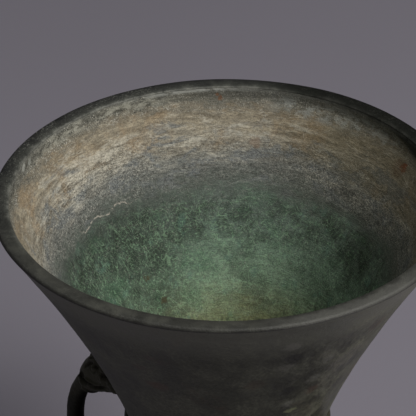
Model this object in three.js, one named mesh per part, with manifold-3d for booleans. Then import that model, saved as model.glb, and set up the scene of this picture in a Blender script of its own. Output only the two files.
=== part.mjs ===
// A cast bronze offering vase: a wide trumpet mouth on a narrow neck, a round belly, a spreading hollow foot,
// and two loop handles that come out of the mouths of beast heads on the neck.
// Millimetres, +Z up. The origin is the centre of the foot's underside. The handles lie along X.

import * as THREE from "three";
import { mergeVertices } from "three/addons/utils/BufferGeometryUtils.js";
import Module from "manifold-3d";

const wasm = await Module();
wasm.setup();

// Heights of the stacked zones, from the ground up.
const footHeight = 46;
const waistRingHeight = 6;
const bellyHeight = 85;
const collarHeight = 11.5;
const trumpetHeight = 101.5;

// Outside radii.
const footRadius = 50;
const waistRadius = 34;
const waistRingRadius = 37;
const bellyRadius = 52;
const shoulderRadius = 37;
const collarRadius = 40.2;
const neckRadius = 37.3;
const mouthRadius = 84;

// Walls and edges.
const wall = 3.4;
const floorThickness = 4;
const lipWidth = 6.4;
const lipRound = 1.2;
const lipInnerRound = 0.8;
const lipDish = 0.5; // the lip's inner edge is this much lower than its outer edge
const mouthFlare = 0.62; // how far the trumpet closes in for each millimetre down, just below the lip
const footRimHeight = 8;
const footRimWidth = 5;
const ringRound = 1.2;
const bellyCentreShare = 0.5; // where the belly is widest, as a share of its height

// Loop handles.
const loopRadius = 3.7;
const loopReach = 74.3; // from the axis to the middle of the bar at its furthest
const loopRootDrop = 19; // the lower root, below the widest line of the belly
const loopRootRadius = 6.2;

// Beast heads, measured from the neck that carries them.
const headLength = 31.5;
const headHeight = 25;
const headWidth = 20;
const headRise = 1; // middle of the neck end, above the collar
const headArch = 4; // how far the middle line is drawn up on its way to the mouth
const headDroop = 13.5; // how far the mouth hangs below the neck end
const muzzleShare = 0.4; // height of the muzzle at the mouth, as a share of the head's
const lipRollRadius = 0.9;
const eyeRadius = 2.4;
const nostrilRadius = 1.3;
const browRadius = 1.4;
const jawRadius = 2;
const earLength = 11;
const earWidth = 5;
const scrollRadius = 3.3;
const scrollThickness = 1.2;

// How finely the round forms are faceted.
const outsideSegments = 40;
const insideSegments = 36;
const barSegments = 10;
const headSegments = 12;

const waistRingBase = footHeight;
const bellyBase = waistRingBase + waistRingHeight;
const collarBase = bellyBase + bellyHeight;
const trumpetBase = collarBase + collarHeight;
const mouthHeight = trumpetBase + trumpetHeight;
const bellyCentre = bellyBase + bellyHeight * bellyCentreShare;

// The lip's rounding runs from its flat top to where it meets the flaring wall.
const lipEndAngle = Math.atan(mouthFlare);
const lipEndRadius = mouthRadius - lipRound + lipRound * Math.cos(lipEndAngle);
const lipEndHeight = mouthHeight - lipRound - lipRound * Math.sin(lipEndAngle);

// The trumpet's outside is a parabola from the neck to the lip.
function trumpetRadius(height) {
  const down = lipEndHeight - height;
  const run = lipEndHeight - trumpetBase;
  const bend = (neckRadius - lipEndRadius + mouthFlare * run) / run ** 2;
  return lipEndRadius - mouthFlare * down + bend * down ** 2;
}

// Half an oval above the widest line and half an oval below it.
function bellyOutline(height) {
  const above = height > bellyCentre;
  const reach = above ? collarBase - bellyCentre : bellyCentre - bellyBase;
  const end = above ? shoulderRadius : waistRadius;
  const share = Math.min(1, Math.abs(height - bellyCentre) / reach);
  return end + (bellyRadius - end) * Math.sqrt(1 - share ** 2);
}

function footOutline(height) {
  const share = (height - footRimHeight) / (footHeight - footRimHeight);
  return waistRadius + (footRadius - 1.5 - waistRadius) * (1 - share) ** 2.2;
}

// Points of a curve given as radius at a height, from one height to another.
function along(from, to, steps, radiusAt) {
  return Array.from({ length: steps + 1 }, (_, i) => {
    const height = from + ((to - from) * i) / steps;
    return new THREE.Vector2(radiusAt(height), height);
  });
}

// Points of the belly, spaced evenly in angle so that its tight ends stay round.
function bellyPoints(steps, inset, endHeights) {
  return Array.from({ length: steps + 1 }, (_, i) => {
    const angle = Math.PI * (i / steps - 0.5);
    const reach = angle > 0 ? collarBase - bellyCentre : bellyCentre - bellyBase;
    const height = bellyCentre + reach * Math.sin(angle);
    const clamped = THREE.MathUtils.clamp(height, ...endHeights);
    return new THREE.Vector2(bellyOutline(clamped) - inset, clamped);
  });
}

function arc(centreRadius, centreHeight, round, from, to, steps) {
  return Array.from({ length: steps + 1 }, (_, i) => {
    const angle = from + ((to - from) * i) / steps;
    return new THREE.Vector2(
      centreRadius + round * Math.cos(angle),
      centreHeight + round * Math.sin(angle),
    );
  });
}

// A raised ring with rounded edges, from its lower to its upper height.
function ring(radius, base, top) {
  const quarter = Math.PI / 2;
  return [
    ...arc(radius - ringRound, base + ringRound, ringRound, -quarter, 0, 1),
    ...arc(radius - ringRound, top - ringRound, ringRound, 0, quarter, 1),
  ];
}

function isNew(point, i, all) {
  return i === 0 || point.distanceTo(all[i - 1]) > 1e-3;
}

// A closed solid as manifold-3d wants it: shared vertices merged, collapsed triangles dropped.
function solid(geometry) {
  const bare = geometry.index ? geometry.toNonIndexed() : geometry.clone();
  bare.deleteAttribute("normal");
  bare.deleteAttribute("uv");
  const merged = mergeVertices(bare, 1e-4);
  const index = merged.index.array;
  const kept = [];
  for (let i = 0; i < index.length; i += 3) {
    const [a, b, c] = index.slice(i, i + 3);
    if (a !== b && b !== c && c !== a) kept.push(a, b, c);
  }
  const build = (triangles) =>
    new wasm.Manifold(
      new wasm.Mesh({
        numProp: 3,
        vertProperties: merged.attributes.position.array,
        triVerts: new Uint32Array(triangles),
      }),
    );
  const made = build(kept);
  if (made.volume() > 0) return made;
  const turned = [];
  for (let i = 0; i < kept.length; i += 3) turned.push(kept[i], kept[i + 2], kept[i + 1]);
  return build(turned);
}

function geometryOf(manifold) {
  const mesh = manifold.getMesh();
  const positions = new Float32Array(mesh.numVert * 3);
  for (let i = 0; i < mesh.numVert; i++) {
    positions.set(mesh.vertProperties.subarray(i * mesh.numProp, i * mesh.numProp + 3), i * 3);
  }
  const geometry = new THREE.BufferGeometry();
  geometry.setAttribute("position", new THREE.BufferAttribute(positions, 3));
  geometry.setIndex(new THREE.BufferAttribute(mesh.triVerts, 1));
  const faceted = geometry.toNonIndexed();
  faceted.computeVertexNormals();
  return faceted;
}

function join(solids) {
  return solids.reduce((sum, next) => sum.add(next));
}

function turned(points, segments) {
  const lathe = new THREE.LatheGeometry(points.filter(isNew), segments);
  return solid(lathe.rotateX(Math.PI / 2));
}

// The outside of the vessel, filled in from the axis.
function vesselOutside() {
  const quarter = Math.PI / 2;
  const points = [
    new THREE.Vector2(0, 0),
    new THREE.Vector2(footRadius - 1, 0),
    new THREE.Vector2(footRadius, 1),
    new THREE.Vector2(footRadius, footRimHeight - 1.5),
    ...along(footRimHeight, footHeight, 5, footOutline),
    ...ring(waistRingRadius, waistRingBase, bellyBase),
    ...bellyPoints(10, 0, [bellyBase, collarBase]),
    ...ring(collarRadius, collarBase, trumpetBase),
    ...along(trumpetBase, lipEndHeight, 7, trumpetRadius),
    ...arc(mouthRadius - lipRound, mouthHeight - lipRound, lipRound, -lipEndAngle, quarter, 3),
    new THREE.Vector2(mouthRadius - lipWidth, mouthHeight - lipDish),
    new THREE.Vector2(0, mouthHeight - lipDish),
  ];
  return turned(points, outsideSegments);
}

// Inside radius of the trumpet: the wall's thickness is taken square to the slope.
function trumpetInside(height) {
  const slope = trumpetRadius(height + 0.5) - trumpetRadius(height - 0.5);
  return trumpetRadius(height) - wall * Math.hypot(1, slope);
}

// The hollow of the vessel, open above the lip.
function vesselHollow() {
  const innerLip = mouthRadius - lipWidth;
  const hollowBase = bellyBase + floorThickness;
  const neckInside = neckRadius - wall;
  let lipBottom = lipEndHeight;
  while (trumpetInside(lipBottom) > innerLip) lipBottom -= 0.1;
  const belly = bellyPoints(9, wall, [hollowBase, collarBase - wall]);
  const points = [
    new THREE.Vector2(0, hollowBase),
    ...belly.filter((p) => p.x > neckInside || p.y < bellyCentre),
    new THREE.Vector2(neckInside, collarBase + wall),
    ...along(trumpetBase + wall, lipBottom, 5, trumpetInside),
    new THREE.Vector2(innerLip, lipBottom + 0.6),
    new THREE.Vector2(innerLip, mouthHeight - lipDish - lipInnerRound),
    new THREE.Vector2(innerLip + lipInnerRound * 2, mouthHeight + lipInnerRound),
    new THREE.Vector2(0, mouthHeight + lipInnerRound),
  ];
  return turned(points, insideSegments);
}

// The hollow under the foot, open below the ground.
function footHollow() {
  const hollowTop = bellyBase - wall;
  const points = [
    new THREE.Vector2(0, -wall),
    new THREE.Vector2(footRadius - footRimWidth, -wall),
    new THREE.Vector2(footRadius - footRimWidth, footRimHeight),
    ...along(footRimHeight + wall, footHeight, 5, (z) => footOutline(z) - wall),
    new THREE.Vector2(waistRadius - wall - 4, hollowTop),
    new THREE.Vector2(0, hollowTop),
  ];
  return turned(points, insideSegments);
}

// The middle line of a head: out from the neck, then down to the mouth.
const headBase = trumpetBase + headRise;
const neckSurface = trumpetRadius(headBase);
const headEnd = new THREE.Vector3(neckSurface + headLength * 0.91, 0, headBase - headDroop);
const headLine = new THREE.QuadraticBezierCurve3(
  new THREE.Vector3(neckSurface - wall * 0.7, 0, headBase),
  new THREE.Vector3(neckSurface + headLength * 0.56, 0, headBase + headArch / 2),
  headEnd,
);

// Half height and half width of a head along its middle line, as shares of its height and width.
const headSections = [
  { at: 0, high: 0.3, wide: 0.38 },
  { at: 0.16, high: 0.33, wide: 0.44 },
  { at: 0.34, high: 0.36, wide: 0.49 },
  { at: 0.5, high: 0.37, wide: 0.48 },
  { at: 0.64, high: 0.36, wide: 0.43 },
  { at: 0.8, high: 0.32, wide: 0.38 },
  { at: 0.92, high: 0.26, wide: 0.32 },
  { at: 1, high: muzzleShare / 2, wide: 0.26 },
];

function headAxes(at) {
  const ahead = headLine.getTangent(at);
  const up = new THREE.Vector3(-ahead.z, 0, ahead.x);
  return { centre: headLine.getPoint(at), ahead, up };
}

// A point on the head's skin: angle 0 is the top of the head and 90 degrees its side.
function headSkin(at, angle) {
  const next = Math.max(1, headSections.findIndex((section) => section.at >= at));
  const [a, b] = [headSections[next - 1], headSections[next]];
  const share = (at - a.at) / (b.at - a.at);
  const high = THREE.MathUtils.lerp(a.high, b.high, share) * headHeight;
  const wide = THREE.MathUtils.lerp(a.wide, b.wide, share) * headWidth;
  const { centre, up } = headAxes(at);
  return centre
    .clone()
    .addScaledVector(up, high * Math.cos(angle))
    .add(new THREE.Vector3(0, wide * Math.sin(angle), 0));
}

// A closed solid through rings of points.
function loft(rings) {
  const count = rings[0].length;
  const positions = rings.flat().flatMap((p) => [p.x, p.y, p.z]);
  const centres = [rings[0], rings[rings.length - 1]].map((points) =>
    points.reduce((sum, p) => sum.add(p), new THREE.Vector3()).divideScalar(count),
  );
  centres.forEach((p) => positions.push(p.x, p.y, p.z));
  const first = rings.length * count;
  const index = [];
  for (let i = 0; i < count; i++) {
    const j = (i + 1) % count;
    for (let k = 0; k + 1 < rings.length; k++) {
      const [a, b] = [k * count, (k + 1) * count];
      index.push(a + i, a + j, b + i, b + i, a + j, b + j);
    }
    const last = (rings.length - 1) * count;
    index.push(first, j, i, first + 1, last + i, last + j);
  }
  const geometry = new THREE.BufferGeometry();
  geometry.setAttribute("position", new THREE.Float32BufferAttribute(positions, 3));
  geometry.setIndex(index);
  return solid(geometry);
}

function headSkull() {
  const rings = headSections.map(({ at }) =>
    Array.from({ length: headSegments }, (_, i) => headSkin(at, (2 * Math.PI * i) / headSegments)),
  );
  return loft(rings);
}

function ball(centre, radius) {
  const geometry = new THREE.SphereGeometry(radius, 8, 5);
  return solid(geometry.translate(centre.x, centre.y, centre.z));
}

// A rounded bar that swells in the middle and is thin at both ends.
function spindle(points, radius, steps, sides, flatten = 1) {
  const curve = new THREE.CatmullRomCurve3(points);
  const rings = Array.from({ length: steps + 1 }, (_, k) => {
    const at = k / steps;
    const swell = radius * (0.25 + 0.75 * Math.sin(Math.PI * Math.min(1, at + 0.08)) ** 0.6);
    const ahead = curve.getTangent(at);
    const side = new THREE.Vector3(0, 1, 0).cross(ahead).normalize();
    const out = ahead.clone().cross(side);
    return Array.from({ length: sides }, (_, i) => {
      const angle = (2 * Math.PI * i) / sides;
      return curve
        .getPoint(at)
        .addScaledVector(side, swell * Math.cos(angle))
        .addScaledVector(out, swell * flatten * Math.sin(angle));
    });
  });
  return loft(rings);
}

const degrees = Math.PI / 180;

function eye(side) {
  const centre = headSkin(0.56, side * 52 * degrees);
  return ball(centre, eyeRadius);
}

function brow(side) {
  const points = [
    headSkin(0.42, side * 72 * degrees),
    headSkin(0.48, side * 44 * degrees),
    headSkin(0.6, side * 20 * degrees),
    headSkin(0.7, side * 32 * degrees),
  ];
  return spindle(points, browRadius, 5, 6);
}

// The ear lies back against the neck, its tip up.
function ear(side) {
  const root = headSkin(0.42, side * 96 * degrees);
  const tip = root.clone().add(new THREE.Vector3(-earLength, side * 1.5, earLength * 0.1));
  const middle = root.clone().lerp(tip, 0.5).add(new THREE.Vector3(0, side * 1.4, 0));
  return spindle([root, middle, tip], earWidth / 2, 5, 7, 0.6);
}

function nostril(side) {
  return ball(headSkin(0.86, side * 44 * degrees), nostrilRadius);
}

// A curl on the cheek, lying on the side of the head.
function cheekScroll(side) {
  const centre = headSkin(0.47, side * 104 * degrees);
  const geometry = new THREE.TorusGeometry(scrollRadius, scrollThickness, 4, 9);
  geometry.rotateX(Math.PI / 2).translate(centre.x, centre.y - side * 0.6, centre.z);
  return solid(geometry);
}

function lipRoll() {
  const { ahead, centre } = headAxes(0.98);
  const last = headSections[headSections.length - 1];
  const geometry = new THREE.TorusGeometry(last.high * headHeight, lipRollRadius, 5, headSegments);
  geometry.rotateY(Math.PI / 2 - Math.atan2(ahead.z, ahead.x));
  return solid(geometry.translate(centre.x, centre.y, centre.z));
}

function jaw() {
  const points = [0.3, 0.5, 0.7, 0.93].map((at) => headSkin(at, Math.PI).lerp(headAxes(at).centre, 0.15));
  return spindle(points, jawRadius, 5, 7);
}

function foreheadCrest() {
  const points = [0.34, 0.46, 0.58, 0.72].map((at) => headSkin(at, 0));
  return spindle(points, browRadius, 6, 6);
}

function beastHead() {
  const pairs = [eye, brow, ear, nostril, cheekScroll].flatMap((make) => [make(1), make(-1)]);
  return join([headSkull(), lipRoll(), jaw(), foreheadCrest(), ...pairs]);
}

// The bar of the loop, from inside the muzzle to inside the belly's wall.
const rootHeight = bellyCentre - loopRootDrop;
const rootRadius = bellyOutline(rootHeight);
const loopStart = headLine.getPoint(0.84);
const loopEnd = new THREE.Vector3(rootRadius - wall * 0.5, 0, rootHeight);
const loopBow = (8 * loopReach - loopStart.x - loopEnd.x) / 6;
const loopLine = new THREE.CubicBezierCurve3(
  loopStart,
  new THREE.Vector3(loopBow, 0, loopStart.z - (loopStart.z - loopEnd.z) * 0.16),
  new THREE.Vector3(loopBow, 0, loopEnd.z + (loopStart.z - loopEnd.z) * 0.1),
  loopEnd,
);

function loopBar() {
  const section = new THREE.Shape();
  section.absellipse(0, 0, loopRadius, loopRadius, 0, 2 * Math.PI);
  return solid(
    new THREE.ExtrudeGeometry(section, {
      extrudePath: loopLine,
      steps: 13,
      curveSegments: barSegments / 2,
    }),
  );
}

// A flat boss where the bar meets the belly.
function loopRoot() {
  const boss = new THREE.SphereGeometry(loopRootRadius, 10, 6);
  boss.scale(0.5, 1, 1.2);
  return solid(boss.translate(rootRadius - 0.4, 0, rootHeight + 0.5));
}

function handle(turn) {
  return join([beastHead(), loopBar(), loopRoot()]).rotate([0, 0, turn]);
}

function vase() {
  const body = join([vesselOutside(), handle(0), handle(180)]);
  const hollowed = body.subtract(vesselHollow()).subtract(footHollow());
  const bronze = new THREE.MeshStandardMaterial({ color: 0x33332f, roughness: 0.5, metalness: 0.6 });
  const mesh = new THREE.Mesh(geometryOf(hollowed), bronze);
  mesh.name = "vase";
  return mesh;
}

const group = new THREE.Group();
group.add(vase());

export default group;
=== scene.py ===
import math
import bmesh
import bpy
from mathutils import Matrix, Vector, bvhtree, kdtree, noise


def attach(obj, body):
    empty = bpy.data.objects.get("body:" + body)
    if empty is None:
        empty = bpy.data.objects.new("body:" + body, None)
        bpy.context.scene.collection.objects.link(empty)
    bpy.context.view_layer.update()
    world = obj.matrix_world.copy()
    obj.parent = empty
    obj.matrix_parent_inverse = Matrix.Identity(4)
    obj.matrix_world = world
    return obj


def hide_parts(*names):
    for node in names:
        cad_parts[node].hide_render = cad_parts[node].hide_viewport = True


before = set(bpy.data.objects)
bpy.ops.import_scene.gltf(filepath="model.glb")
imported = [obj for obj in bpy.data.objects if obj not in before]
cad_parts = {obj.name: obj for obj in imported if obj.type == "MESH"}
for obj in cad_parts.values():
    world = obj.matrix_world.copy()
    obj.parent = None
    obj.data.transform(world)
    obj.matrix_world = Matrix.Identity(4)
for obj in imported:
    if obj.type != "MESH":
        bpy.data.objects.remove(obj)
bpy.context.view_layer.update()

mm = 0.001


# helpers for objects and node trees

def addObject(name, data):
    obj = bpy.data.objects.new(name, data)
    bpy.context.scene.collection.objects.link(obj)
    return obj


def addMesh(name, points, edges, faces):
    mesh = bpy.data.meshes.new(name)
    mesh.from_pydata(points, edges, faces)
    return addObject(name, mesh)


def screenColour(red, green, blue):
    # a colour as seen on screen, 0 to 255, to the linear values that shaders use
    def linear(value):
        value = value / 255
        return value / 12.92 if value <= 0.04045 else ((value + 0.055) / 1.055) ** 2.4
    return (linear(red), linear(green), linear(blue), 1.0)


class NodeTools:
    # adds nodes to one tree; every value is a number or another node's output

    def __init__(self, tree):
        self.tree = tree

    def feed(self, socket, value):
        if isinstance(value, bpy.types.NodeSocket):
            self.tree.links.new(value, socket)
        else:
            socket.default_value = value

    def add(self, kind, inputs=None, **settings):
        node = self.tree.nodes.new(kind)
        for name, value in settings.items():
            setattr(node, name, value)
        for name, value in (inputs or {}).items():
            self.feed(node.inputs[name], value)
        return node.outputs

    def first(self, kind, inputs=None, **settings):
        return self.add(kind, inputs, **settings)[0]

    def calc(self, operation, a, b=0.0, c=0.0):
        return self.first("ShaderNodeMath", {0: a, 1: b, 2: c}, operation=operation)

    def product(self, value, *others):
        for other in others:
            value = self.calc("MULTIPLY", value, other)
        return value

    def total(self, value, *others):
        for other in others:
            value = self.calc("ADD", value, other)
        return value

    def less(self, value, other):
        return self.calc("SUBTRACT", value, other)

    def vector(self, operation, a, b=(0, 0, 0), result="Vector"):
        return self.add("ShaderNodeVectorMath", {0: a, 1: b}, operation=operation)[result]

    def parts(self, vector):
        return self.add("ShaderNodeSeparateXYZ", {0: vector})

    def noise(self, vector, scale, detail=4.0, rough=0.6, distortion=0.0):
        return self.first("ShaderNodeTexNoise", {
            "Vector": vector, "Scale": scale, "Detail": detail, "Roughness": rough, "Distortion": distortion})

    def spread(self, value, low, high, toLow=0.0, toHigh=1.0):
        # a smooth step from low to high, or downwards where low is the larger
        inputs = {0: value, 1: low, 2: high, 3: toLow, 4: toHigh}
        return self.first("ShaderNodeMapRange", inputs, interpolation_type="SMOOTHSTEP")

    def within(self, value, low, high, soft):
        # 1 between low and high, with soft ends
        above = self.spread(value, low - soft, low + soft)
        below = self.spread(value, high + soft, high - soft)
        return self.product(above, below)


# camera, at the photograph's angle

cameraSizes = {
    "place": (0.26755, -0.44092, 0.57249),
    "azimuth": 32.0,
    "elevation": 32.65,
    "roll": -0.56,
    "lens": 147.1,
}


def makeCamera():
    data = bpy.data.cameras.new("camera")
    data.lens = cameraSizes["lens"]
    data.sensor_width = 36.0
    camera = addObject("camera", data)
    turn = Matrix.Rotation(math.radians(cameraSizes["azimuth"]), 4, "Z")
    tilt = Matrix.Rotation(math.radians(90 - cameraSizes["elevation"]), 4, "X")
    roll = Matrix.Rotation(math.radians(cameraSizes["roll"]), 4, "Z")
    camera.matrix_world = Matrix.Translation(cameraSizes["place"]) @ turn @ tilt @ roll
    bpy.context.scene.camera = camera


makeCamera()
print("camera placed")

# the vessel, turned from one profile

# millimetres, the same as the solids
vesselSizes = {
    "footHeight": 46, "footRadius": 50, "footRim": 8, "footRimWidth": 5, "footStep": 1.5, "footSpread": 2.2,
    "waistRadius": 34, "waistRing": 6, "waistRingRadius": 37,
    "belly": 85, "bellyRadius": 52, "shoulderRadius": 37,
    "collar": 11.5, "collarRadius": 40.2, "ringRound": 1.2,
    "trumpet": 101.5, "neckRadius": 37.3, "mouthRadius": 84, "mouthFlare": 0.62,
    "wall": 3.4, "floor": 4, "lipWidth": 6.4, "lipRound": 1.2, "lipInnerRound": 0.8, "lipDish": 0.5,
    "segments": 240, "unevenness": 0.35, "wear": 0.5, "crust": 0.3, "seed": 7,
}
# where the working of the surface fades in and out, as heights in millimetres
workedHeights = {"ground": (2, 12), "lip": (236, 244), "wornFrom": (128, 160), "wornTo": (236, 190)}
# about how many lumps of the noise lie in a metre
workedScales = {"uneven": 28.0, "wear": 110.0, "crust": 420.0}

size = vesselSizes
waistRingBase = size["footHeight"]
bellyBase = waistRingBase + size["waistRing"]
collarBase = bellyBase + size["belly"]
trumpetBase = collarBase + size["collar"]
mouthHeight = trumpetBase + size["trumpet"]
bellyCentre = bellyBase + size["belly"] / 2
lipAngle = math.atan(size["mouthFlare"])
lipEndRadius = size["mouthRadius"] - size["lipRound"] * (1 - math.cos(lipAngle))
lipEndHeight = mouthHeight - size["lipRound"] * (1 + math.sin(lipAngle))
innerLip = size["mouthRadius"] - size["lipWidth"]


def trumpetRadius(height):
    down = lipEndHeight - height
    run = lipEndHeight - trumpetBase
    bend = (size["neckRadius"] - lipEndRadius + size["mouthFlare"] * run) / run ** 2
    return lipEndRadius - size["mouthFlare"] * down + bend * down ** 2


def trumpetInside(height):
    slope = trumpetRadius(height + 0.5) - trumpetRadius(height - 0.5)
    return trumpetRadius(height) - size["wall"] * math.hypot(1, slope)


def bellyReach(above):
    return collarBase - bellyCentre if above else bellyCentre - bellyBase


def bellyOutline(height):
    above = height > bellyCentre
    end = size["shoulderRadius"] if above else size["waistRadius"]
    share = min(1, abs(height - bellyCentre) / bellyReach(above))
    return end + (size["bellyRadius"] - end) * math.sqrt(1 - share ** 2)


def footOutline(height):
    share = (height - size["footRim"]) / (size["footHeight"] - size["footRim"])
    out = size["footRadius"] - size["footStep"] - size["waistRadius"]
    return size["waistRadius"] + out * (1 - share) ** size["footSpread"]


def along(start, end, steps, radiusAt):
    heights = [start + (end - start) * i / steps for i in range(steps + 1)]
    return [(radiusAt(height), height) for height in heights]


def arc(radius, height, rounding, start, end, steps):
    angles = [math.radians(start + (end - start) * i / steps) for i in range(steps + 1)]
    return [(radius + rounding * math.cos(a), height + rounding * math.sin(a)) for a in angles]


def bellyPoints(steps, inset, low, high):
    points = []
    for i in range(steps + 1):
        angle = math.pi * (i / steps - 0.5)
        height = bellyCentre + bellyReach(angle > 0) * math.sin(angle)
        if low <= height <= high:
            points.append((bellyOutline(height) - inset, height))
    return points


def ringPoints(radius, base, top):
    rounding = size["ringRound"]
    return (arc(radius - rounding, base + rounding, rounding, -90, 0, 4)
            + arc(radius - rounding, top - rounding, rounding, 0, 90, 4))


def rounded(points, radius, steps=3):
    # softens the corners of a run of points
    result = [points[0]]
    for before, corner, after in zip(points, points[1:], points[2:]):
        a, b, c = Vector(before), Vector(corner), Vector(after)
        turn = (b - a).angle(c - b, 0)
        reach = min(radius, (b - a).length * 0.45, (c - b).length * 0.45)
        if turn < math.radians(20) or reach < 0.02:
            result.append(corner)
            continue
        start = b + (a - b).normalized() * reach
        end = b + (c - b).normalized() * reach
        for i in range(steps + 1):
            t = i / steps
            result.append(tuple(start * (1 - t) ** 2 + b * 2 * t * (1 - t) + end * t ** 2))
    result.append(points[-1])
    return result


def footPoints():
    # from the axis under the waist out to the foot's rim, and up its outer edge
    wall, rim, outer = size["wall"], size["footRim"], size["footRadius"]
    hollowTop = bellyBase - wall
    footInside = outer - size["footRimWidth"]
    under = [(0, hollowTop), (14, hollowTop), (size["waistRadius"] - wall - 4, hollowTop)]
    under += along(size["footHeight"], rim + wall, 14, lambda z: footOutline(z) - wall)
    under += [(footInside, rim), (footInside, 1), (footInside + 1, 0)]
    edge = [(outer - 1, 0), (outer, 1), (outer, rim - size["footStep"])]
    return under, edge


def outsidePoints():
    points = along(size["footRim"], size["footHeight"], 20, footOutline)
    points += ringPoints(size["waistRingRadius"], waistRingBase, bellyBase)
    points += bellyPoints(48, 0, bellyBase, collarBase)
    points += ringPoints(size["collarRadius"], collarBase, trumpetBase)
    return points + along(trumpetBase, lipEndHeight, 52, trumpetRadius)


def lipPoints():
    radius, outer, inner = size["mouthRadius"], size["lipRound"], size["lipInnerRound"]
    lipTop = mouthHeight - size["lipDish"]
    points = arc(radius - outer, mouthHeight - outer, outer, -math.degrees(lipAngle), 90, 8)
    points += [(radius - 3, mouthHeight - 0.12), (radius - 4.4, mouthHeight - 0.28)]
    return points + arc(innerLip + inner, lipTop - inner, inner, 90, 180, 6)


def insidePoints():
    wall, floorHeight = size["wall"], bellyBase + size["floor"]
    lipBottom = lipEndHeight
    while trumpetInside(lipBottom) > innerLip:
        lipBottom -= 0.1
    points = [(innerLip, lipBottom + 1.6), (innerLip - 0.1, lipBottom + 0.6)]
    points += along(lipBottom - 0.4, trumpetBase + wall, 60, trumpetInside)
    points += [(size["neckRadius"] - wall, collarBase + wall)]
    points += bellyPoints(32, wall, floorHeight, collarBase - wall)[::-1]
    floorRadius = points[-1][0]
    return points + [(floorRadius - 1, floorHeight), (floorRadius * 0.5, floorHeight), (0, floorHeight)]


def vesselProfile():
    # radius, height and zone: 0 for the outside, 1 for the lip, 2 for the inside
    under, edge = footPoints()
    runs = [(rounded(under + edge, 1.0), 0), (rounded(edge[2:] + outsidePoints(), 0.8), 0),
            (lipPoints(), 1), (rounded(insidePoints(), 1.6), 2)]
    points = []
    for run, zone in runs:
        for radius, height in run:
            if not points or math.dist(points[-1][:2], (radius, height)) > 0.05:
                points.append((max(0, radius), height, zone))
    return points


def profileObject(points):
    edges = [(i, i + 1) for i in range(len(points) - 1)]
    obj = addMesh("vessel", [(r * mm, 0, z * mm) for r, z, zone in points], edges, [])
    layer = obj.data.attributes.new("zone", "FLOAT", "POINT")
    layer.data.foreach_set("value", [zone for r, z, zone in points])
    return obj


def treeInput(tree, name, kind, value=None):
    socket = tree.interface.new_socket(name, in_out="INPUT", socket_type=kind)
    if value is not None:
        socket.default_value = value
    return socket.identifier


def fade(nodes, height, name):
    low, high = workedHeights[name]
    return nodes.spread(height, low * mm, high * mm)


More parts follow.
